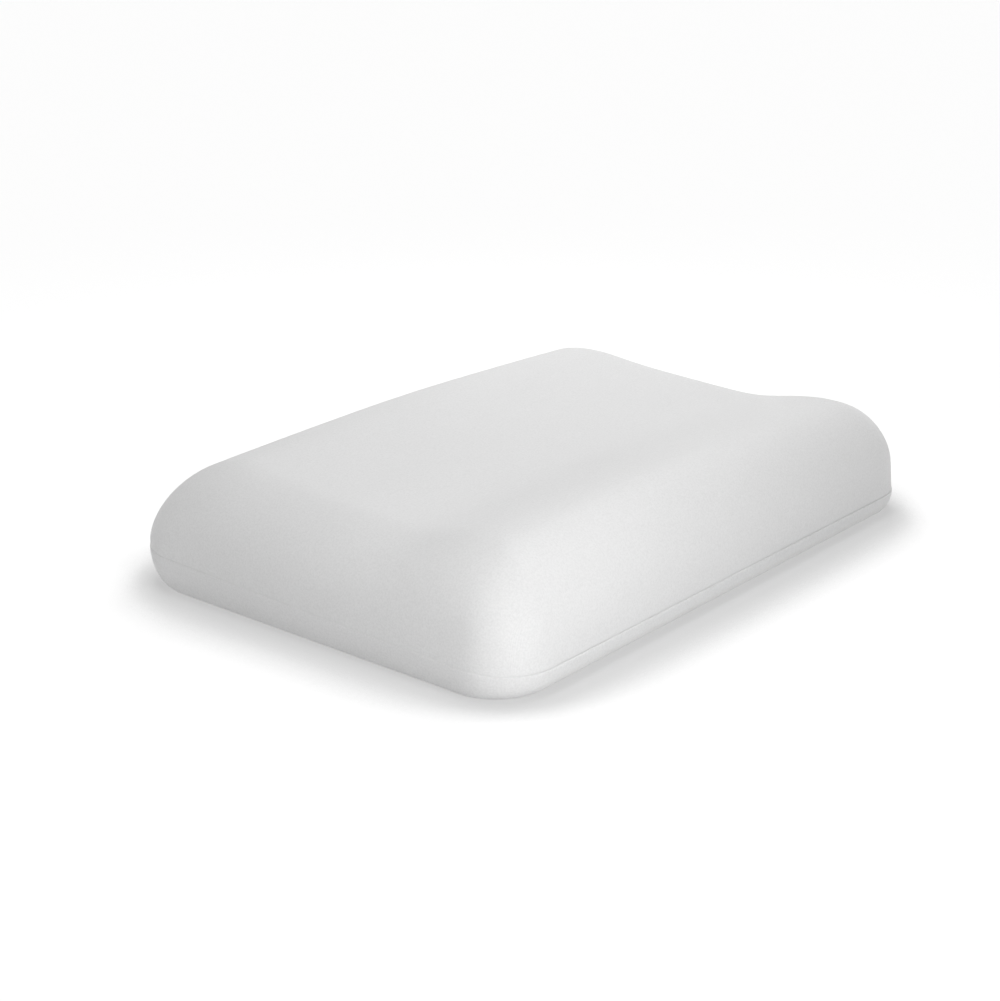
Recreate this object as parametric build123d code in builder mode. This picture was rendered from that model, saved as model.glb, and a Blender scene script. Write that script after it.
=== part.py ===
"""Contoured foam bed pillow in a close-fitting zipped knit cover.

Frame: +X along the pillow's length, -Y towards the sleeper's front edge, +Z up.
The origin is the centre of the flat base. Lengths are in millimetres, angles in degrees.
"""

import os
from math import radians, tan

from build123d import *

os.makedirs("parts", exist_ok=True)

# Outside of the cover
length = 600
depth = 428
corner_radius = 56
wall_draft = 7.5
top_roll = 50
base_roll = 15

# The seam runs low around the sides and climbs a little towards the back.
seam_height = 27.5
seam_tilt = 1.5

# The top, seen from the end: a front crest, a shallow dip and a back crest.
# The whole top also bows down towards both ends, along a large arc.
front_edge, back_edge = (-260, 84), (260, 84)
front_shoulder, front_crest = (-180, 104), (-125, 111)
dip_front, dip, dip_back = (-70, 104.5), (-25, 102), (40, 104)
back_rise, back_crest, back_shoulder = (95, 107.5), (140, 110), (190, 103)
crown_radius = 5000
crown_arc = 10
above_everything = 220

# Fabric layers, from the outside in
cover_thickness = 1.2
liner_thickness = 0.6
layer_gap = 0.3
liner_inset = cover_thickness + layer_gap
core_inset = liner_inset + liner_thickness + layer_gap

# Binding in the seam
binding_height = 1.4
binding_ridge = 0.8
binding_depth = 1.0
binding_gap = 0.1

# Zip, along X in the back wall, on the seam's line
zip_wall = depth / 2
zip_height = seam_height + zip_wall * tan(radians(seam_tilt))
slot_length, slot_height = 472, 11
tape_length, tape_width, tape_thickness = 480, 12, 0.7
tape_face = zip_wall - 1.45
tape_edge = 0.5
coil_length, coil_width, coil_height = 452, 2.8, 2.4
coil_edge = 0.6
stop_length = 3.5
stop_gap = 0.2

# Slider and pull tab
slider_length, slider_width = 12, 9.6
plate_thickness = 1.0
slider_clearance = 0.3
flange_thickness = 1.2
wedge_thickness, wedge_length = 0.6, 5
bail_length, bail_width, bail_rise, bail_bar = 8, 1.4, 1.5, 1.0
tab_length, tab_width, tab_thickness = 20, 5.4, 0.9
tab_corner = 1.4
tab_window_length, tab_window_width = 5.0, 2.4
tab_hole_radius = 1.2
hinge_pin_radius = 0.55

# Pocket that the zip presses into the liner and the core
pocket_depth = 5.0
pocket_height = 26
pocket_length = 482

seam_plane = Plane((0, 0, seam_height)).rotated((seam_tilt, 0, 0))
base_plane = Plane.XY


def save(piece, name):
    """Labels a finished piece and writes it to its own STEP file."""
    piece.part.label = name
    export_step(piece.part, f"parts/{name}.step")


def pillow_body(inset):
    """The pillow's whole form, drawn in by one distance on every side."""
    crown_axis = Axis((0, 0, front_crest[1] - crown_radius), (0, 1, 0))
    top_points = [
        front_edge, front_shoulder, front_crest, dip_front, dip,
        dip_back, back_rise, back_crest, back_shoulder, back_edge,
    ]
    with BuildSketch(Plane.YZ) as above_top:
        with BuildLine():
            top_line = Spline(*[(y, z - inset) for y, z in top_points])
            Polyline(
                top_line @ 1,
                (back_edge[0], above_everything),
                (front_edge[0], above_everything),
                top_line @ 0,
            )
        make_face()
    with BuildPart() as body:
        with BuildSketch(seam_plane) as outline:
            RectangleRounded(length - 2 * inset, depth - 2 * inset, corner_radius - inset)
        extrude(amount=above_everything / 2, taper=wall_draft)
        extrude(outline.sketch, amount=2 * seam_height, dir=(0, 0, -1))
        split(bisect_by=base_plane.offset(inset), keep=Keep.TOP)
        revolve(
            above_top.sketch.rotate(crown_axis, -crown_arc / 2),
            axis=crown_axis,
            revolution_arc=crown_arc,
            mode=Mode.SUBTRACT,
        )
        fillet(body.faces().sort_by(Axis.Z)[0].edges(), base_roll - inset)
        fillet(body.faces().sort_by(Axis.Z)[-1].edges(), top_roll - inset)
    return body.part


def padded_body(inset):
    """The form under the cover, with the pocket that the zip presses into its back."""
    grown = inset - liner_inset
    pocket_floor = zip_wall - pocket_depth - grown
    with BuildPart() as body:
        add(pillow_body(inset))
        with Locations((0, pocket_floor, zip_height)):
            Box(
                pocket_length + 2 * grown,
                2 * pocket_depth,
                pocket_height + 2 * grown,
                align=(Align.CENTER, Align.MIN, Align.CENTER),
                mode=Mode.SUBTRACT,
            )
    return body.part


def wall_point(rise, out):
    """A point of a zip's section: rise from the zip's centre line, out from the tape's face.

    Above the centre line the tape leans in with the wall."""
    lean = max(rise, 0) * tan(radians(wall_draft + seam_tilt))
    return (tape_face + out - lean, zip_height + rise)


def zip_strip(rise_from, rise_to, out_from, out_to, strip_length):
    """A straight strip of the zip, with a four-sided section that follows the wall."""
    section = Plane.YZ.offset(-strip_length / 2)
    with BuildPart() as strip:
        with BuildSketch(section):
            with BuildLine():
                Polyline(
                    wall_point(rise_from, out_from),
                    wall_point(rise_to, out_from),
                    wall_point(rise_to, out_to),
                    wall_point(rise_from, out_to),
                    close=True,
                )
            make_face()
        extrude(amount=strip_length)
    return strip.part


# ---------------------------------------------------------------- core and liner

with BuildPart() as foam_core:
    add(padded_body(core_inset))
save(foam_core, "foam_core")

with BuildPart() as liner:
    add(padded_body(liner_inset))
    add(padded_body(liner_inset + liner_thickness), mode=Mode.SUBTRACT)

with BuildPart() as liner_top_panel:
    add(liner.part)
    split(bisect_by=seam_plane, keep=Keep.TOP)
save(liner_top_panel, "liner_top_panel")

with BuildPart() as liner_base_panel:
    add(liner.part)
    split(bisect_by=seam_plane, keep=Keep.BOTTOM)
save(liner_base_panel, "liner_base_panel")

# ---------------------------------------------------------------- cover

with BuildPart() as zip_slot:
    with Locations((0, zip_wall, zip_height)):
        Box(slot_length, 4 * cover_thickness, slot_height)

with BuildPart() as cover:
    add(pillow_body(0))
    add(pillow_body(cover_thickness), mode=Mode.SUBTRACT)
    add(zip_slot.part, mode=Mode.SUBTRACT)

half_seam = binding_height / 2 + binding_gap

with BuildPart() as cover_top_panel:
    add(cover.part)
    split(bisect_by=seam_plane.offset(half_seam), keep=Keep.TOP)
save(cover_top_panel, "cover_top_panel")

with BuildPart() as cover_base_panel:
    add(cover.part)
    split(bisect_by=seam_plane.offset(-half_seam), keep=Keep.BOTTOM)
save(cover_base_panel, "cover_base_panel")

with BuildPart() as seam_binding:
    with BuildSketch(seam_plane.offset(-binding_height / 2)):
        RectangleRounded(
            length + 2 * binding_ridge,
            depth + 2 * binding_ridge,
            corner_radius + binding_ridge,
        )
        RectangleRounded(
            length - 2 * binding_depth,
            depth - 2 * binding_depth,
            corner_radius - binding_depth,
            mode=Mode.SUBTRACT,
        )
    extrude(amount=binding_height)
    add(zip_slot.part, mode=Mode.SUBTRACT)
save(seam_binding, "seam_binding")

# ---------------------------------------------------------------- zip chain

with BuildPart() as zip_tape_upper:
    add(zip_strip(tape_edge, tape_width, -tape_thickness, 0, tape_length))
save(zip_tape_upper, "zip_tape_upper")

with BuildPart() as zip_tape_lower:
    add(zip_strip(-tape_width, -tape_edge, -tape_thickness, 0, tape_length))
save(zip_tape_lower, "zip_tape_lower")

with BuildPart() as zip_coil_upper:
    add(zip_strip(coil_edge, coil_edge + coil_width, 0, coil_height, coil_length))
save(zip_coil_upper, "zip_coil_upper")

with BuildPart() as zip_coil_lower:
    add(zip_strip(-coil_edge - coil_width, -coil_edge, 0, coil_height, coil_length))
save(zip_coil_lower, "zip_coil_lower")

stop_centre = coil_length / 2 + stop_gap + stop_length / 2
stop_strip = zip_strip(coil_edge, coil_edge + coil_width, 0, coil_height, stop_length)
lower_stop_strip = zip_strip(-coil_edge - coil_width, -coil_edge, 0, coil_height, stop_length)

with BuildPart() as zip_top_stops:
    with Locations((stop_centre, 0, 0)):
        add(stop_strip)
        add(lower_stop_strip)
save(zip_top_stops, "zip_top_stops")

bottom_stop_half = coil_edge + coil_width
with BuildPart() as zip_bottom_stop:
    with BuildSketch(Plane.YZ.offset(-stop_centre - stop_length / 2)):
        with BuildLine():
            Polyline(
                wall_point(bottom_stop_half, 0),
                wall_point(0, 0),
                wall_point(-bottom_stop_half, 0),
                wall_point(-bottom_stop_half, coil_height),
                wall_point(0, coil_height),
                wall_point(bottom_stop_half, coil_height),
                close=True,
            )
        make_face()
    extrude(amount=stop_length)
save(zip_bottom_stop, "zip_bottom_stop")

# ---------------------------------------------------------------- slider and pull tab

slider_x = coil_length / 2 - slider_clearance - slider_length / 2
outer_plate_y = tape_face + coil_height + slider_clearance
inner_plate_y = tape_face - tape_thickness - 4 * slider_clearance - plate_thickness
plate_top_y = outer_plate_y + plate_thickness
flange_y = tape_face + slider_clearance
bail_top_y = plate_top_y + bail_rise + bail_bar
hinge_y = plate_top_y + bail_rise / 2
outwards = (Align.CENTER, Align.MIN, Align.CENTER)

with BuildPart() as zip_slider:
    with Locations((slider_x, outer_plate_y, zip_height), (slider_x, inner_plate_y, zip_height)):
        Box(slider_length, plate_thickness, slider_width, align=outwards)
    fillet(zip_slider.edges().filter_by(Axis.Y), 2)
    flange_rise = slider_width / 2 - flange_thickness / 2
    with Locations(
        (slider_x, flange_y, zip_height - flange_rise),
        (slider_x, flange_y, zip_height + flange_rise),
    ):
        Box(slider_length - 4, outer_plate_y - flange_y, flange_thickness, align=outwards)
    with Locations((slider_x + slider_length / 2 - wedge_length / 2 - 1, inner_plate_y, zip_height)):
        Box(wedge_length, plate_top_y - inner_plate_y, wedge_thickness, align=outwards)
    with Locations((slider_x, plate_top_y, zip_height)):
        Box(bail_length, bail_rise + bail_bar, bail_width, align=outwards)
        Box(bail_length - 2 * bail_bar, bail_rise, bail_width, align=outwards, mode=Mode.SUBTRACT)
    fillet(
        zip_slider.edges().filter_by(Axis.Z).group_by(Axis.Y)[-1],
        bail_bar * 0.8,
    )
save(zip_slider, "zip_slider")

tab_sketch = Plane((slider_x, hinge_y - tab_thickness / 2, zip_height), x_dir=(-1, 0, 0), z_dir=(0, 1, 0))
with BuildPart() as zip_pull_tab:
    with BuildSketch(tab_sketch):
        with Locations((tab_length / 2 - tab_thickness / 2, 0)):
            RectangleRounded(tab_length, tab_width, tab_corner)
        with Locations((tab_window_length / 2, 0)):
            Rectangle(tab_window_length + tab_thickness, tab_window_width, mode=Mode.SUBTRACT)
        with Locations((tab_length - tab_width, 0)):
            Circle(tab_hole_radius, mode=Mode.SUBTRACT)
    extrude(amount=tab_thickness)
    with Locations((slider_x, hinge_y, zip_height)):
        Cylinder(hinge_pin_radius, tab_window_width + 2 * hinge_pin_radius)
save(zip_pull_tab, "zip_pull_tab")
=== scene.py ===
"""A contoured foam bed pillow: moulded core, jersey liner and a zipped knit cover."""

import functools
import math

import bmesh
import bpy
import numpy as np
from mathutils import Matrix, Vector


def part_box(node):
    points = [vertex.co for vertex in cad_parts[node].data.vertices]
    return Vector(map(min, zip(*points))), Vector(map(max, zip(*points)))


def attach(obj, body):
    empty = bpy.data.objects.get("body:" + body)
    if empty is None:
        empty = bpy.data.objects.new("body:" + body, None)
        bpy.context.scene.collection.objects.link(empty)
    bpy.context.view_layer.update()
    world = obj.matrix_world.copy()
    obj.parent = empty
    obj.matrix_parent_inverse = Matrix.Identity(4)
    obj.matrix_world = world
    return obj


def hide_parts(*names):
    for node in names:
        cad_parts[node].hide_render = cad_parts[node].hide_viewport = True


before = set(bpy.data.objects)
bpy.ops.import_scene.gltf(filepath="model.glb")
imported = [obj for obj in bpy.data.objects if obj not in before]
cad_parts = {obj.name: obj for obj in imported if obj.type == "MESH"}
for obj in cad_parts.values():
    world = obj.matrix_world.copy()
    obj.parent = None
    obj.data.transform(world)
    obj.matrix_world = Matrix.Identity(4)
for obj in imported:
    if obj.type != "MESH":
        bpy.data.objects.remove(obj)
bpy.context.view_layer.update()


# ---------------------------------------------------------------- foam core
# One block of slow-recovery foam, moulded in a closed tool: a flat underside, drafted
# walls that roll over into the top, and a top with a front crest, a dip and a back crest.
# A recess in the back wall leaves room for the zip.

base_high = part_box("cover_base_panel")[1]
slider_low, slider_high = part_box("zip_slider")
half_length, half_depth = base_high.x, base_high.y
zip_height = (slider_low.z + slider_high.z) / 2
binding_half_height = 0.0007
seam_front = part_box("seam_binding")[0].z + binding_half_height

plan_corner, corner_softness = 0.0453, 0.028
wall_draft = math.radians(7.25)
end_radius, front_radius, back_radius = 0.0555, 0.048, 0.0503
roll_stretch = 1.24
roll_from = math.atan(math.tan(wall_draft) / roll_stretch)
base_corner, base_roll_ends, base_roll_sides = 0.0391, 0.25, 0.76
end_fall, fall_softness = 0.0086, 0.040

slot_half_length, slot_half_height, slot_taper = 0.238, 0.0055, 0.010
recess_depth, recess_half_height, recess_half_length = 0.0050, 0.013, 0.242

long_cells, deep_cells, corner_cells = 120, 86, 7
side_rings, lip_rings, base_rings, lip_height = 22, 5, 10, 0.003


def smooth_curve(places, heights):
    """A curve with no sudden bends through the points, as a function of the place."""
    gaps = np.diff(places)
    slopes = np.diff(heights) / gaps
    system = np.eye(len(places))
    right = np.zeros(len(places))
    for i in range(1, len(gaps)):
        system[i, i - 1 : i + 2] = gaps[i - 1], 2 * (gaps[i - 1] + gaps[i]), gaps[i]
        right[i] = 6 * (slopes[i] - slopes[i - 1])
    bends = np.linalg.solve(system, right)

    def curve(place):
        i = min(max(int(np.searchsorted(places, place)) - 1, 0), len(gaps) - 1)
        gap, after, before = gaps[i], places[i + 1] - place, place - places[i]
        height = (bends[i] * after**3 + bends[i + 1] * before**3) / (6 * gap)
        height += (heights[i] / gap - bends[i] * gap / 6) * after
        return height + (heights[i + 1] / gap - bends[i + 1] * gap / 6) * before

    return curve


# The top's height across the depth, from the front wall to the back wall.
profile = smooth_curve(
    np.array([-1, -0.8, -0.6, -0.35, -0.1, 0.15, 0.4, 0.65, 1]) * half_depth,
    np.array([99.2, 111.5, 112.0, 103.0, 102.6, 105.2, 109.1, 112.3, 86.2]) / 1000,
)


def top_height(x, y):
    """The height of the top, which falls away evenly towards both ends."""
    fall = math.hypot(x, fall_softness) ** 1.4 - fall_softness**1.4
    return profile(y) - end_fall * fall / half_length**1.4


def seam_height(y):
    """The seam climbs evenly from the front to the back."""
    return seam_front + (zip_height - seam_front) * (y + half_depth) / (2 * half_depth)


def fade(value, full, none):
    """1 up to full, 0 from none on, and a smooth change between them."""
    share = min(max((none - value) / (none - full), 0), 1)
    return share * share * (3 - 2 * share)


def station(u, v):
    """The place on a rounded rectangle that goes with a point on a unit square's edge.

    Gives the outward direction, and how far along each straight it lies, from -1 to 1."""
    upright = abs(abs(v) - 1) > 1e-6
    cells, step = (deep_cells, (v + 1) / 2) if upright else (long_cells, (u + 1) / 2)
    step *= cells
    over = max(corner_cells - step, step - (cells - corner_cells), 0)
    turn = math.copysign(over / corner_cells * math.pi / 4, step - cells / 2)
    along = min(max((step - corner_cells) / (cells - 2 * corner_cells) * 2 - 1, -1), 1)
    if upright:
        out = math.copysign(1, u)
        return Vector((out * math.cos(turn), math.sin(turn))), Vector((out, along))
    out = math.copysign(1, v)
    return Vector((math.sin(turn), out * math.cos(turn))), Vector((along, out))


def ring_point(u, v, reach_x, reach_y, corner):
    """A point of a rounded rectangle."""
    out, along = station(u, v)
    x = along.x * (reach_x - corner) + out.x * corner
    return Vector((x, along.y * (reach_y - corner) + out.y * corner))


def outline(u, v, inset):
    """A point of the pillow's outline, drawn in by an inset."""
    left = plan_corner - inset
    corner = (left + math.hypot(left, corner_softness)) / 2
    return ring_point(u, v, half_length - inset, half_depth - inset, corner)


def shoulder(u, v):
    """The seam's height, how far the wall leans in, and the radius it rolls over with."""
    out, _ = station(u, v)
    at = outline(u, v, 0)
    front, back = max(-out.y, 0) * front_radius, max(out.y, 0) * back_radius
    radius = math.hypot(out.x * end_radius, front, back)
    wall = max(top_height(at.x, at.y) - radius - seam_height(at.y), 0)
    return seam_height(at.y), wall * math.tan(wall_draft), radius


def upper_rim(u, v):
    """Where the roll-over meets the top."""
    _, lean, radius = shoulder(u, v)
    return outline(u, v, lean + radius * roll_stretch * math.cos(roll_from))


def slot_share(at):
    """1 along the zip's opening in the back wall, and 0 everywhere else."""
    return fade(abs(at.x), slot_half_length - slot_taper, slot_half_length) if at.y > 0 else 0


def seam_pull(u, v, distance, skin, above, opening):
    """How far the stitched seam draws a layer in, at a distance from the seam.

    The long sides are drawn in the most, and the two ends only a little."""
    tight = 0.35 + 0.65 * station(u, v)[0].y ** 2
    if skin > 0:
        wide, narrow, turn = (0.0009, 0.0009, 0.002) if above else (0, 0.0018, 0.002)
    else:
        wide, narrow, turn = (0.0009, 0.0007, 0.0005) if above else (0, 0.0009, 0.00035)
    pull = wide * math.exp(-distance / 0.025) + narrow * math.exp(-distance / turn)
    return pull * tight * (1 - opening) + opening * 0.00035 * math.exp(-distance / 0.0003)


def layer_point(u, v, inset, height, skin):
    """A point of one layer. Under the cover, the recess for the zip is pressed in."""
    at = outline(u, v, inset)
    if skin > 0 and at.y > 0:
        floor = half_depth - recess_depth - (skin - 0.0015)
        across = fade(abs(height - zip_height), recess_half_height, recess_half_height + 0.008)
        along = fade(abs(at.x), recess_half_length, recess_half_length + 0.010)
        at.y -= across * along * max(at.y - floor, 0)
    return Vector((at.x, at.y, height))


@functools.cache
def upper_points(u, v, skin):
    """The points of one upright section, from the top's rim down to the seam."""
    seam, lean, radius = shoulder(u, v)
    turns = np.linspace(roll_from, math.pi / 2, 97)
    outer = lean + radius * roll_stretch * (math.cos(roll_from) - np.cos(turns))
    tops = np.array([top_height(*outline(u, v, inset)) for inset in outer])
    insets = np.append(skin, outer + skin * np.cos(turns))
    heights = np.append(seam, tops - radius + (radius - skin) * np.sin(turns))
    heights = np.maximum.accumulate(heights)
    lengths = np.append(0, np.cumsum(np.hypot(np.diff(insets), np.diff(heights))))

    opening = slot_share(outline(u, v, 0)) if skin == 0 else 0
    edge = seam + opening * slot_half_height + (0.00015 if skin == 0 else 0)
    lip = edge + lip_height * (np.arange(lip_rings) / lip_rings) ** 2
    rest = np.linspace(np.interp(edge + lip_height, heights, lengths), lengths[-1], side_rings)
    rows = [(z, np.interp(z, heights, insets)) for z in lip]
    rows += [(np.interp(s, lengths, heights), np.interp(s, lengths, insets)) for s in rest]
    points = []
    for z, inset in reversed(rows):
        pull = seam_pull(u, v, z - edge, skin, True, opening)
        points.append(layer_point(u, v, inset + pull, z, skin))
    return points


@functools.cache
def lower_points(u, v, skin):
    """The points of one upright section, from the flat underside up to the seam."""
    at = outline(u, v, 0)
    opening = slot_share(at) if skin == 0 else 0
    edge = seam_height(at.y) - opening * slot_half_height - (0.0001 if skin == 0 else 0)
    tall = edge - skin
    turns = np.linspace(0, math.acos(lip_height / tall), base_rings + 1)
    drops = list(tall * np.cos(turns))
    drops += list(lip_height * (1 - np.arange(1, lip_rings + 1) / lip_rings) ** 2)
    foot = ring_point(
        u,
        v,
        half_length - base_roll_ends * seam_height(at.y) - skin,
        half_depth - base_roll_sides * seam_height(at.y) - skin,
        base_corner - skin,
    )
    points = []
    for drop in drops:
        pull = seam_pull(u, v, drop, skin, False, opening)
        wide = layer_point(u, v, skin + pull, edge - drop, skin)
        out = math.sqrt(max(1 - (drop / tall) ** 2, 0))
        points.append(Vector((*foot.lerp(wide.xy, out), edge - drop)))
    return points


def lay_grid(bm, rim, height):
    """Lays a grid inside a rim. Each point keeps its place on the grid and on its rim."""
    bmesh.ops.create_grid(bm, x_segments=long_cells, y_segments=deep_cells, size=1)
    place = bm.verts.layers.float_vector.new("place")
    start = bm.verts.layers.float_vector.new("start")
    bm.verts.layers.float.new("path")
    for vert in bm.verts:
        u, v = vert.co.x, vert.co.y
        reach = max(abs(u), abs(v), 1e-6)
        corner = rim(math.copysign(1, u), math.copysign(1, v))
        square = Vector((u * abs(corner.x), v * abs(corner.y)))
        at = square + (rim(u / reach, v / reach) - square / reach) * reach**4
        vert[place] = (u, v, 0)
        vert[start] = (at.x, at.y, 0)
        vert.co = (at.x, at.y, height(at.x, at.y))
    return [edge for edge in bm.edges if edge.is_boundary]


def add_rings(bm, edges, section, skin):
    """Extrudes the rim outwards, ring by ring, along the upright sections."""
    place = bm.verts.layers.float_vector["place"]
    path = bm.verts.layers.float["path"]
    for ring in range(1, len(section(1.0, 1.0, skin))):
        made = bmesh.ops.extrude_edge_only(bm, edges=edges)["geom"]
        for vert in made:
            if isinstance(vert, bmesh.types.BMVert):
                to = section(vert[place].x, vert[place].y, skin)[ring]
                vert[path] += (to - vert.co).length
                vert.co = to
        edges = [e for e in made if isinstance(e, bmesh.types.BMEdge) and e.is_boundary]


def upper_form(skin):
    """The top and the walls down to the seam."""
    bm = bmesh.new()
    edges = lay_grid(bm, upper_rim, lambda x, y: top_height(x, y) - skin)
    add_rings(bm, edges, upper_points, skin)
    bmesh.ops.recalc_face_normals(bm, faces=bm.faces)
    return bm


def lower_form(skin):
    """The flat underside and the band up to the seam."""
    bm = bmesh.new()
    edges = lay_grid(bm, lambda u, v: lower_points(u, v, skin)[0].xy, lambda x, y: skin)
    add_rings(bm, edges, lower_points, skin)
    bmesh.ops.reverse_faces(bm, faces=bm.faces)
    return bm


def lay_flat(bm):
    """Gives each face its place on flat cloth: the walls fold out from the top's four sides."""
    place = bm.verts.layers.float_vector["place"]
    start = bm.verts.layers.float_vector["start"]
    path = bm.verts.layers.float["path"]
    cloth = bm.loops.layers.uv.new("cloth")
    for face in bm.faces:
        u = sum(vert[place].x for vert in face.verts)
        v = sum(vert[place].y for vert in face.verts)
        for loop in face.loops:
            vert = loop.vert
            if vert[path] == 0 and all(other[path] == 0 for other in face.verts):
                loop[cloth].uv = vert[start].xy
            elif abs(v) > abs(u):
                loop[cloth].uv = (vert.co.x, vert[start].y + math.copysign(vert[path], v))
            else:
                loop[cloth].uv = (vert[start].x + math.copysign(vert[path], u), vert.co.y)


def make_piece(bm, name, body, material, nodes=()):
    """Turns a finished bmesh into a smooth piece that rides on a body of the pillow."""
    for face in bm.faces:
        face.smooth = True
    mesh = bpy.data.meshes.new(name)
    bm.to_mesh(mesh)
    bm.free()
    mesh.materials.append(material)
    piece = bpy.data.objects.new(name, mesh)
    bpy.context.scene.collection.objects.link(piece)
    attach(piece, body)
    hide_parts(*nodes)
    return piece


def new_material(name, colour, roughness):
    """A material with its plain values set on the shader's own sockets."""
    material = bpy.data.materials.new(name)
    material.use_nodes = True
    shader = material.node_tree.nodes["Principled BSDF"]
    shader.inputs["Base Color"].default_value = (*colour, 1)
    shader.inputs["Roughness"].default_value = roughness
    return material, material.node_tree, shader


def add_node(tree, kind, values=None, **settings):
    """Adds a node, with its settings and its sockets' values."""
    node = tree.nodes.new(kind)
    for key, value in settings.items():
        setattr(node, key, value)
    for socket, value in (values or {}).items():
        node.inputs[socket].default_value = value
    return node


def wire(tree, *pairs):
    """Links outputs to inputs."""
    for source, target in pairs:
        tree.links.new(source, target)


def sum_of(tree, operation, first, second=None):
    """A sum, product or other result of two values, each a socket or a number."""
    node = add_node(tree, "ShaderNodeMath", operation=operation)
    for socket, value in zip(node.inputs, (first, second)):
        if isinstance(value, (int, float)):
            socket.default_value = value
        elif value is not None:
            tree.links.new(value, socket)
    return node.outputs["Value"]


# Soft variation, as in every undyed material: a mask that drifts slowly from 0 to 1.
drift = bpy.data.node_groups.new("slow_drift", "ShaderNodeTree")
drift.interface.new_socket("Vector", in_out="INPUT", socket_type="NodeSocketVector")
drift.interface.new_socket("Mask", in_out="OUTPUT", socket_type="NodeSocketFloat")
drift_in = add_node(drift, "NodeGroupInput")
drift_out = add_node(drift, "NodeGroupOutput")
broad = add_node(drift, "ShaderNodeTexNoise", {"Scale": 9.0, "Detail": 4.0, "Roughness": 0.6})
grain = add_node(drift, "ShaderNodeTexNoise", {"Scale": 420.0, "Detail": 2.0})
mixed = sum_of(drift, "MULTIPLY", grain.outputs["Fac"], 0.45)
mixed = sum_of(drift, "ADD", sum_of(drift, "MULTIPLY", broad.outputs["Fac"], 0.55), mixed)
wire(
    drift,
    (drift_in.outputs["Vector"], broad.inputs["Vector"]),
    (drift_in.outputs["Vector"], grain.inputs["Vector"]),
    (mixed, drift_out.inputs["Mask"]),
)


def add_drift(tree, shader, dark, light):
    """Lets a material's colour drift between two shades of itself."""
    place = add_node(tree, "ShaderNodeTexCoord")
    group = add_node(tree, "ShaderNodeGroup", node_tree=drift)
    shades = add_node(tree, "ShaderNodeMix", data_type="RGBA")
    shades.inputs["A"].default_value = (*dark, 1)
    shades.inputs["B"].default_value = (*light, 1)
    wire(
        tree,
        (place.outputs["Object"], group.inputs["Vector"]),
        (group.outputs["Mask"], shades.inputs["Factor"]),
        (shades.outputs["Result"], shader.inputs["Base Color"]),
    )
    return place, shades


foam, tree, shader = new_material("moulded_foam", (0.90, 0.87, 0.78), 0.85)
place, _ = add_drift(tree, shader, (0.86, 0.82, 0.71), (0.93, 0.91, 0.84))
cells = add_node(tree, "ShaderNodeTexVoronoi", {"Scale": 900.0})
relief = add_node(tree, "ShaderNodeBump", {"Strength": 0.4, "Distance": 0.0004})
wire(
    tree,
    (place.outputs["Object"], cells.inputs["Vector"]),
    (cells.outputs["Distance"], relief.inputs["Height"]),
    (relief.outputs["Normal"], shader.inputs["Normal"]),
)

core_skin = 0.0024
core = upper_form(core_skin)
lower_half = bpy.data.meshes.new("lower_half")
lower_bm = lower_form(core_skin)
lower_bm.to_mesh(lower_half)
lower_bm.free()
core.from_mesh(lower_half)
bpy.data.meshes.remove(lower_half)
bmesh.ops.remove_doubles(core, verts=core.verts, dist=0.0001)
foam_core = make_piece(core, "foam_core_block", "pillow", foam, ["foam_core"])


# ---------------------------------------------------------------- liner
# A thin stretch jersey bag, sewn from a top and a base piece and pulled tight over the
# core. It stays on when the cover comes off.

liner_skin, liner_thickness = 0.0015, 0.0006


def knit_group(name, pitch):
    """Rows of fine knitted loops, as a height: pairs of slanted legs in upright columns."""
    group = bpy.data.node_groups.new(name, "ShaderNodeTree")
    group.interface.new_socket("Vector", in_out="INPUT", socket_type="NodeSocketVector")
    group.interface.new_socket("Height", in_out="OUTPUT", socket_type="NodeSocketFloat")
    source = add_node(group, "NodeGroupInput")
    result = add_node(group, "NodeGroupOutput")
    split = add_node(group, "ShaderNodeSeparateXYZ")
    wire(group, (source.outputs["Vector"], split.inputs["Vector"]))
    column = sum_of(group, "DIVIDE", split.outputs["X"], pitch)
    row = sum_of(group, "DIVIDE", split.outputs["Y"], pitch * 0.8)
    swing = sum_of(group, "SINE", sum_of(group, "MULTIPLY", column, math.pi))
    across = sum_of(group, "ABSOLUTE", swing)
    slant = sum_of(group, "ADD", row, sum_of(group, "MULTIPLY", across, 0.6))
    legs = sum_of(group, "SINE", sum_of(group, "MULTIPLY", slant, 2 * math.pi))
    legs = sum_of(group, "MULTIPLY", legs, 0.5)
    height = sum_of(group, "MULTIPLY", sum_of(group, "ADD", legs, 1), across)
    wire(group, (height, result.inputs["Height"]))
    return group


def add_knit(tree, shader, pitch, name, strength, distance):
    """Gives a material knitted relief on its flat-cloth map."""
    cloth = add_node(tree, "ShaderNodeUVMap", uv_map="cloth")
    loops = add_node(tree, "ShaderNodeGroup", node_tree=knit_group(name, pitch))
    relief = add_node(tree, "ShaderNodeBump", {"Strength": strength, "Distance": distance})
    wire(
        tree,
        (cloth.outputs["UV"], loops.inputs["Vector"]),
        (loops.outputs["Height"], relief.inputs["Height"]),
        (relief.outputs["Normal"], shader.inputs["Normal"]),
    )


def add_sheen(shader, weight):
    """The soft bloom of fine fibre ends at a grazing angle."""
    shader.inputs["Sheen Weight"].default_value = weight
    shader.inputs["Sheen Roughness"].default_value = 0.6
    shader.inputs["Specular IOR Level"].default_value = 0.25


def thicken(piece, thickness):
    """Gives a sheet its cloth's thickness, inwards from its outer face."""
    solid = piece.modifiers.new("thickness", "SOLIDIFY")
    solid.thickness = thickness
    solid.offset = -1


jersey, tree, shader = new_material("liner_jersey", (0.88, 0.88, 0.87), 0.9)
add_drift(tree, shader, (0.85, 0.85, 0.84), (0.91, 0.91, 0.90))
add_knit(tree, shader, 0.0007, "jersey_loops", 0.5, 0.00012)
add_sheen(shader, 0.1)

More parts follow.
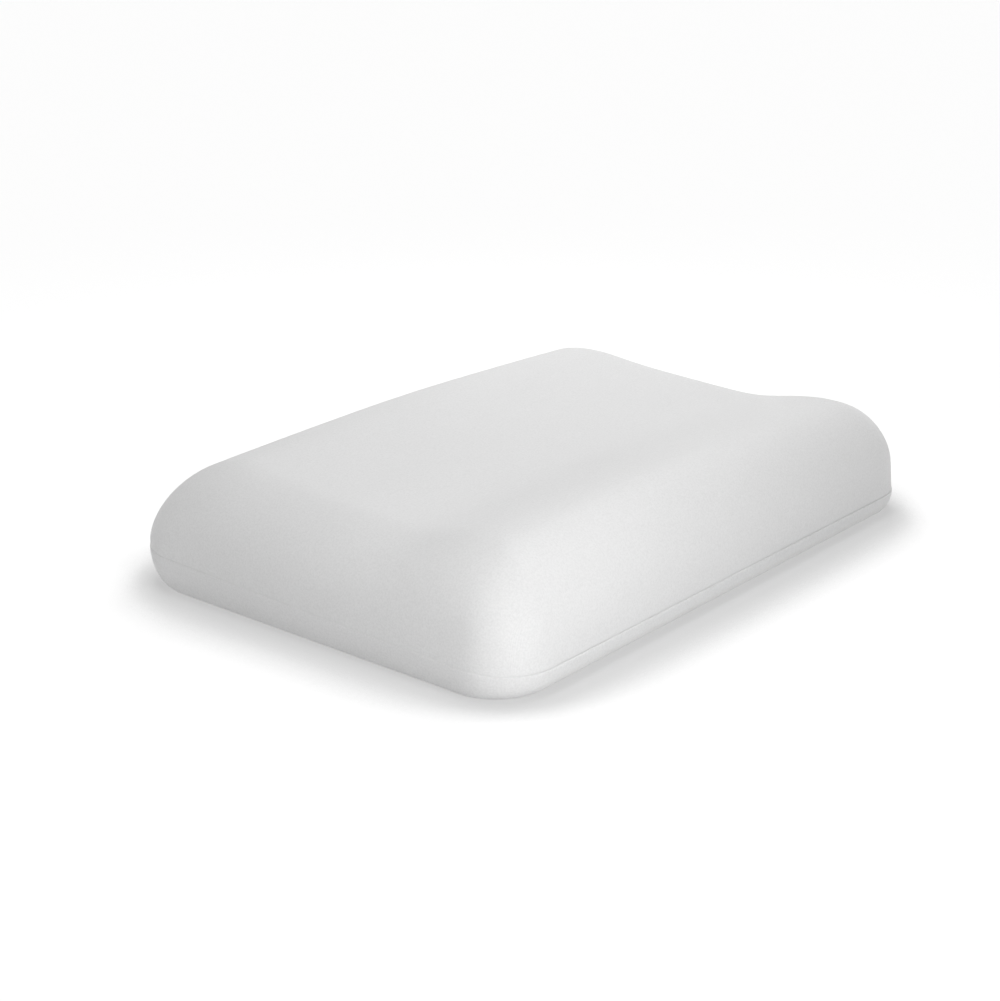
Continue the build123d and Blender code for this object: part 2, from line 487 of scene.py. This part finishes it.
for name, bm, flat, area in (
    ("liner_top", upper_form(liner_skin), (0.652, 0.507), 0.315),
    ("liner_base", lower_form(liner_skin), (0.614, 0.438), 0.265),
):
    lay_flat(bm)
    piece = make_piece(bm, name + "_cloth", "pillow", jersey, [name + "_panel"])
    thicken(piece, liner_thickness)


# ---------------------------------------------------------------- cover
# A close knit cover in two pieces, sewn together low on the sides. The seam draws both
# pieces in; in the back wall they stop short of each other at the zip, with turned lips.

cover_thickness = 0.0012


def add_grain(tree, shader, shades, place):
    """The fine salt and pepper of fibre ends that catch the light or a shadow."""
    fibres = add_node(tree, "ShaderNodeTexNoise", {"Scale": 620.0, "Detail": 2.0})
    share = add_node(tree, "ShaderNodeMapRange", {"From Min": 0.35, "From Max": 0.72})
    grain = add_node(tree, "ShaderNodeMix", data_type="RGBA", blend_type="MULTIPLY")
    grain.inputs["B"].default_value = (0.93, 0.93, 0.93, 1)
    wire(
        tree,
        (place.outputs["Object"], fibres.inputs["Vector"]),
        (fibres.outputs["Fac"], share.inputs["Value"]),
        (share.outputs["Result"], grain.inputs["Factor"]),
        (shades.outputs["Result"], grain.inputs["A"]),
        (grain.outputs["Result"], shader.inputs["Base Color"]),
    )


cover_knit, tree, shader = new_material("cover_knit", (0.82, 0.82, 0.82), 0.85)
place, shades = add_drift(tree, shader, (0.82, 0.82, 0.82), (0.86, 0.86, 0.86))
add_grain(tree, shader, shades, place)
add_knit(tree, shader, 0.0010, "cover_loops", 0.6, 0.00016)
add_sheen(shader, 0.12)

base_knit, tree, shader = new_material("base_knit", (0.81, 0.81, 0.81), 0.85)
place, shades = add_drift(tree, shader, (0.82, 0.82, 0.82), (0.86, 0.86, 0.86))
add_grain(tree, shader, shades, place)
add_knit(tree, shader, 0.0012, "base_loops", 0.6, 0.00018)
add_sheen(shader, 0.12)

for name, bm, cloth, slot_name, flat, area in (
    ("cover_top", upper_form(0), cover_knit, "cover_knit", (0.665, 0.513), 0.325),
    ("cover_base", lower_form(0), base_knit, "base_knit", (0.628, 0.445), 0.275),
):
    lay_flat(bm)
    piece = make_piece(bm, name + "_cloth", "pillow", cloth, [name + "_panel"])
    thicken(piece, cover_thickness)


# ---------------------------------------------------------------- seam binding
# A narrow knit strip, folded round the seam allowance and sewn in between the two cover
# pieces. It shows as a fine round bead in the crease, and stops at the zip's opening.

binding, tree, shader = new_material("binding_tape", (0.80, 0.80, 0.80), 0.9)
place, _ = add_drift(tree, shader, (0.76, 0.76, 0.76), (0.83, 0.83, 0.83))
ribs = add_node(
    tree, "ShaderNodeTexWave", {"Scale": 420.0, "Distortion": 0.4}, bands_direction="DIAGONAL"
)
relief = add_node(tree, "ShaderNodeBump", {"Strength": 0.4, "Distance": 0.0001})
wire(
    tree,
    (place.outputs["Object"], ribs.inputs["Vector"]),
    (ribs.outputs["Fac"], relief.inputs["Height"]),
    (relief.outputs["Normal"], shader.inputs["Normal"]),
)


def sweep(bm, path, radius, sides):
    """Draws a round thread along a path and closes both its ends."""
    ahead = (path[1] - path[0]).normalized()
    turn = Vector((0, 0, 1)).rotation_difference(ahead).to_matrix().to_4x4()
    start = Matrix.Translation(path[0]) @ turn
    ring = bmesh.ops.create_circle(bm, cap_ends=True, segments=sides, radius=radius, matrix=start)
    edges = list({edge for vert in ring["verts"] for edge in vert.link_edges})
    for before, at, after in zip(path, path[1:], path[2:] + path[-1:]):
        made = bmesh.ops.extrude_edge_only(bm, edges=edges)["geom"]
        verts = [item for item in made if isinstance(item, bmesh.types.BMVert)]
        edges = [e for e in made if isinstance(e, bmesh.types.BMEdge) and e.is_boundary]
        bmesh.ops.translate(bm, verts=verts, vec=at - before)
        aim = (after - before).normalized()
        bend = ahead.rotation_difference(aim).to_matrix()
        bmesh.ops.rotate(bm, verts=verts, cent=at, matrix=bend)
        ahead = aim
    bmesh.ops.edgeloop_fill(bm, edges=edges)


def back_place(x):
    """The place on the unit square's back edge that goes with a distance along the zip."""
    corner = (plan_corner + math.hypot(plan_corner, corner_softness)) / 2
    return x / (half_length - corner) * (1 - 2 * corner_cells / long_cells)


bead_end, bead_radius = 0.2365, 0.00042
bead_path = []
across = [2 * i / long_cells - 1 for i in range(long_cells + 1)]
upwards = [2 * i / deep_cells - 1 for i in range(deep_cells + 1)]
around = [(u, 1.0) for u in across if u > back_place(bead_end)]
around += [(1.0, v) for v in reversed(upwards[:-1])]
around += [(u, -1.0) for u in reversed(across[:-1])]
around += [(-1.0, v) for v in upwards[1:]]
around += [(u, 1.0) for u in across[1:] if u < back_place(-bead_end)]
for u, v in around:
    at = outline(u, v, 0.0002 + seam_pull(u, v, 0, 0, True, 0) * 0.8)
    bead_path.append(Vector((at.x, at.y, seam_height(at.y))))

bm = bmesh.new()
sweep(bm, bead_path, bead_radius, 8)
bmesh.ops.recalc_face_normals(bm, faces=bm.faces)
make_piece(bm, "seam_bead", "pillow", binding, ["seam_binding"])


# ---------------------------------------------------------------- zip tapes
# Two woven polyester tapes in herringbone, sewn behind the cover's lips.

tape, tree, shader = new_material("zip_tape", (0.84, 0.84, 0.83), 0.8)
place, _ = add_drift(tree, shader, (0.80, 0.80, 0.79), (0.86, 0.86, 0.85))
split = add_node(tree, "ShaderNodeSeparateXYZ")
wire(tree, (place.outputs["Object"], split.inputs["Vector"]))
zigzag = sum_of(tree, "PINGPONG", split.outputs["Z"], 0.0012)
slant = sum_of(tree, "ADD", split.outputs["X"], zigzag)
twill = sum_of(tree, "SINE", sum_of(tree, "MULTIPLY", slant, 2 * math.pi / 0.0006))
relief = add_node(tree, "ShaderNodeBump", {"Strength": 0.6, "Distance": 0.00008})
wire(tree, (twill, relief.inputs["Height"]), (relief.outputs["Normal"], shader.inputs["Normal"]))
add_sheen(shader, 0.1)
for name in ("zip_tape_upper", "zip_tape_lower"):
    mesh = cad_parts[name].data
    mesh.materials.clear()
    mesh.materials.append(tape)


# ---------------------------------------------------------------- zip coils
# A nylon filament wound into two flattened coils, one sewn along the edge of each tape.
# Their loops mesh along the centre line.

nylon, tree, shader = new_material("zip_nylon", (0.85, 0.85, 0.84), 0.35)
add_drift(tree, shader, (0.83, 0.83, 0.82), (0.87, 0.87, 0.86))
shader.inputs["Subsurface Weight"].default_value = 0.15
shader.inputs["Subsurface Radius"].default_value = (0.002, 0.002, 0.002)

coil_low, coil_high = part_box("zip_coil_lower")
tape_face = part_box("zip_tape_lower")[1].y
zip_lean = math.tan(math.radians(9))
coil_pitch, filament = 0.0015, 0.00034
coil_height = coil_high.y - tape_face
coil_turns = int((coil_high.x - coil_low.x) / coil_pitch)

for name, side, shift in (("zip_coil_upper", 1, 0.0), ("zip_coil_lower", -1, 0.5)):
    loop = []
    for i in range(11):
        turn = 2 * math.pi * i / 10
        rise = side * (0.0015 + 0.00155 * math.cos(turn))
        out = coil_height / 2 + (coil_height / 2 - filament) * math.sin(turn)
        y = tape_face + out - max(rise, 0) * zip_lean
        x = coil_low.x + coil_pitch * (i / 10 + shift)
        loop.append(Vector((x, y, zip_height + rise)))
    bm = bmesh.new()
    sweep(bm, loop, filament, 6)
    bmesh.ops.recalc_face_normals(bm, faces=bm.faces)
    coil = make_piece(bm, name + "_loops", "pillow", nylon, [name])
    row = coil.modifiers.new("turns", "ARRAY")
    row.count = coil_turns - 1
    row.use_relative_offset = False
    row.use_constant_offset = True
    row.constant_offset_displace = (coil_pitch, 0, 0)


# ---------------------------------------------------------------- zip stitching
# A line of lockstitch holds each lip of the cover to its tape, and a finer line holds
# each coil down.

thread, tree, shader = new_material("sewing_thread", (0.83, 0.83, 0.82), 0.7)
place, _ = add_drift(tree, shader, (0.78, 0.78, 0.77), (0.86, 0.86, 0.85))
twist = add_node(tree, "ShaderNodeTexWave", {"Scale": 1500.0}, bands_direction="DIAGONAL")
relief = add_node(tree, "ShaderNodeBump", {"Strength": 0.5, "Distance": 0.00006})
wire(
    tree,
    (place.outputs["Object"], twist.inputs["Vector"]),
    (twist.outputs["Fac"], relief.inputs["Height"]),
    (relief.outputs["Normal"], shader.inputs["Normal"]),
)

lip_pitch, lip_length, lip_thread = 0.0030, 0.0023, 0.00022
lip_row, lip_reach = slot_half_height + 0.0025, 76
coil_stitch_pitch, coil_stitch_length, coil_thread = 0.0024, 0.0019, 0.00016


def wall_y(x, height):
    """Where the cover's face lies at a height on the back wall."""
    u = back_place(x)
    points = lower_points(u, 1.0, 0) + upper_points(u, 1.0, 0)[::-1]
    return float(np.interp(height, [p.z for p in points], [p.y for p in points]))


bm = bmesh.new()
for side in (-1, 1):
    for i in range(-lip_reach, lip_reach + 1):
        x = i * lip_pitch
        height = zip_height + side * lip_row
        face = wall_y(x, height)
        ends = [(-0.5, -0.00025), (-0.32, 0.00019), (0.32, 0.00019), (0.5, -0.00025)]
        path = [Vector((x + along * lip_length, face + out, height)) for along, out in ends]
        sweep(bm, path, lip_thread, 5)
bmesh.ops.recalc_face_normals(bm, faces=bm.faces)
make_piece(bm, "lip_stitching", "pillow", thread)

bm = bmesh.new()
for side in (-1, 1):
    rise = side * 0.0040
    y = tape_face - max(rise, 0) * zip_lean
    ends = [(-0.5, -0.0002), (-0.3, 0.00012), (0.3, 0.00012), (0.5, -0.0002)]
    start = Vector((coil_low.x + 0.001, y, zip_height + rise))
    path = [start + Vector((along * coil_stitch_length, out, 0)) for along, out in ends]
    sweep(bm, path, coil_thread, 5)
bmesh.ops.recalc_face_normals(bm, faces=bm.faces)
coil_stitching = make_piece(bm, "coil_stitching", "pillow", thread)
row = coil_stitching.modifiers.new("stitches", "ARRAY")
row.count = int((coil_high.x - coil_low.x) / coil_stitch_pitch)
row.use_relative_offset = False
row.use_constant_offset = True
row.constant_offset_displace = (coil_stitch_pitch, 0, 0)


# ---------------------------------------------------------------- zip stops
# Pressed aluminium: two small clamps close the ends of the coils past the slider, and a
# wider one holds both coils together at the far end.

metal, tree, shader = new_material("zip_aluminium", (0.78, 0.78, 0.79), 0.32)
place, _ = add_drift(tree, shader, (0.72, 0.72, 0.73), (0.82, 0.82, 0.83))
shader.inputs["Metallic"].default_value = 1.0
brushed = add_node(tree, "ShaderNodeTexNoise", {"Scale": 1800.0, "Detail": 2.0})
relief = add_node(tree, "ShaderNodeBump", {"Strength": 0.15, "Distance": 0.00005})
wire(
    tree,
    (place.outputs["Object"], brushed.inputs["Vector"]),
    (brushed.outputs["Fac"], relief.inputs["Height"]),
    (relief.outputs["Normal"], shader.inputs["Normal"]),
)


def rounded_copy(node, name, body, material, radius):
    """A copy of a hard CAD piece with its sharp edges rounded."""
    bm = bmesh.new()
    bm.from_mesh(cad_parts[node].data)
    bmesh.ops.remove_doubles(bm, verts=bm.verts, dist=0.00001)
    bmesh.ops.dissolve_limit(bm, angle_limit=math.radians(2), verts=bm.verts, edges=bm.edges)
    shared = [edge for edge in bm.edges if len(edge.link_faces) == 2]
    sharp = [edge for edge in shared if edge.calc_face_angle() > math.radians(35)]
    bmesh.ops.bevel(
        bm,
        geom=sharp,
        affect="EDGES",
        offset=radius,
        offset_type="OFFSET",
        segments=3,
        profile=0.5,
        clamp_overlap=True,
        material=-1,
    )
    bmesh.ops.recalc_face_normals(bm, faces=bm.faces)
    piece = make_piece(bm, name, body, material, [node])
    piece.modifiers.new("flat_faces", "WEIGHTED_NORMAL")
    return piece


rounded_copy("zip_top_stops", "top_stop_clamps", "pillow", metal, 0.0004)
rounded_copy("zip_bottom_stop", "bottom_stop_clamp", "pillow", metal, 0.0004)


# ---------------------------------------------------------------- slider and pull tab
# Die-cast zinc under white enamel: a slider with a bail, and a flat tab that hangs from it
# on a round pin.

enamel, tree, shader = new_material("white_enamel", (0.86, 0.86, 0.85), 0.28)
place, _ = add_drift(tree, shader, (0.84, 0.84, 0.83), (0.88, 0.88, 0.87))
shader.inputs["Coat Weight"].default_value = 0.4
shader.inputs["Coat Roughness"].default_value = 0.15
orange_peel = add_node(tree, "ShaderNodeTexNoise", {"Scale": 700.0, "Detail": 1.0})
relief = add_node(tree, "ShaderNodeBump", {"Strength": 0.12, "Distance": 0.0001})
wire(
    tree,
    (place.outputs["Object"], orange_peel.inputs["Vector"]),
    (orange_peel.outputs["Fac"], relief.inputs["Height"]),
    (relief.outputs["Normal"], shader.inputs["Normal"]),
)
rounded_copy("zip_slider", "slider_casting", "slider", enamel, 0.0002)
rounded_copy("zip_pull_tab", "pull_tab_casting", "pull_tab", enamel, 0.00015)


# ---------------------------------------------------------------- floor and light
# A white table that glows, and less so close to the pillow, which deepens the shadow there.
# Near soft lights left of the front and behind, and four broad ones: overhead, behind, left
# and low on the right. The surround is only seen, and lights nothing.

floor_material, tree, shader = new_material("white_table", (0.30, 0.30, 0.30), 0.9)
shader.inputs["Emission Color"].default_value = (1, 1, 1, 1)
shader.inputs["Specular IOR Level"].default_value = 0.0
openness = add_node(tree, "ShaderNodeAmbientOcclusion", {"Distance": 0.115}, samples=16)
glow = add_node(tree, "ShaderNodeMapRange", interpolation_type="SMOOTHSTEP")
for socket, value in (("From Min", 0.68), ("From Max", 0.92), ("To Min", 0.42), ("To Max", 0.78)):
    glow.inputs[socket].default_value = value
wire(
    tree,
    (openness.outputs["AO"], glow.inputs["Value"]),
    (glow.outputs["Result"], shader.inputs["Emission Strength"]),
)
bm = bmesh.new()
bmesh.ops.create_grid(bm, x_segments=1, y_segments=1, size=20)
floor_mesh = bpy.data.meshes.new("table")
bm.to_mesh(floor_mesh)
bm.free()
floor_mesh.materials.append(floor_material)
table = bpy.data.objects.new("table", floor_mesh)
bpy.context.scene.collection.objects.link(table)

world = bpy.data.worlds.new("surround")
world.use_nodes = True
backdrop = world.node_tree.nodes["Background"]
seen = add_node(world.node_tree, "ShaderNodeLightPath")
backdrop.inputs["Color"].default_value = (1, 1, 1, 1)
wire(world.node_tree, (seen.outputs["Is Camera Ray"], backdrop.inputs["Strength"]))
bpy.context.scene.world = world


def add_light(name, kind, azimuth, elevation, distance, spread, power):
    """A soft light aimed at the pillow. Azimuth 0 is in front of it, 90 off the +X end.

    The spread is an area light's side, or the angle that a sun's disc fills."""
    flat, up = math.radians(azimuth), math.radians(elevation)
    out = Vector((math.sin(flat) * math.cos(up), -math.cos(flat) * math.cos(up), math.sin(up)))
    data = bpy.data.lights.new(name, kind)
    if kind == "AREA":
        data.size = spread
    else:
        data.angle = math.radians(spread)
    data.energy = power
    lamp = bpy.data.objects.new(name, data)
    lamp.location = out * distance + Vector((0, 0, 0.05))
    lamp.rotation_euler = out.to_track_quat("Z", "Y").to_euler()
    bpy.context.scene.collection.objects.link(lamp)


add_light("overhead", "SUN", 0, 89, 3, 25, 0.87)
add_light("behind", "SUN", 150, 60, 3, 25, 0.72)
add_light("behind_near", "AREA", 135, 50, 0.9, 0.5, 2.15)
add_light("left", "SUN", -90, 38, 3, 25, 0.57)
add_light("right_low", "SUN", 90, 12, 3, 25, 1.1)
add_light("key", "AREA", -30, 20, 0.9, 0.5, 2.75)

camera_data = bpy.data.cameras.new("camera")
camera_data.sensor_width = 36
camera_data.lens = 72.51
camera_data.clip_start = 0.05
camera_data.clip_end = 60
camera = bpy.data.objects.new("camera", camera_data)
back = Vector((-0.72689, -0.59914, 0.33568)).normalized()
camera.rotation_euler = back.to_track_quat("Z", "Y").to_euler()
camera.location = Vector((-1.3447, -1.0635, 0.6492))
bpy.context.scene.collection.objects.link(camera)
bpy.context.scene.camera = camera
bpy.context.scene.view_settings.view_transform = "Standard"
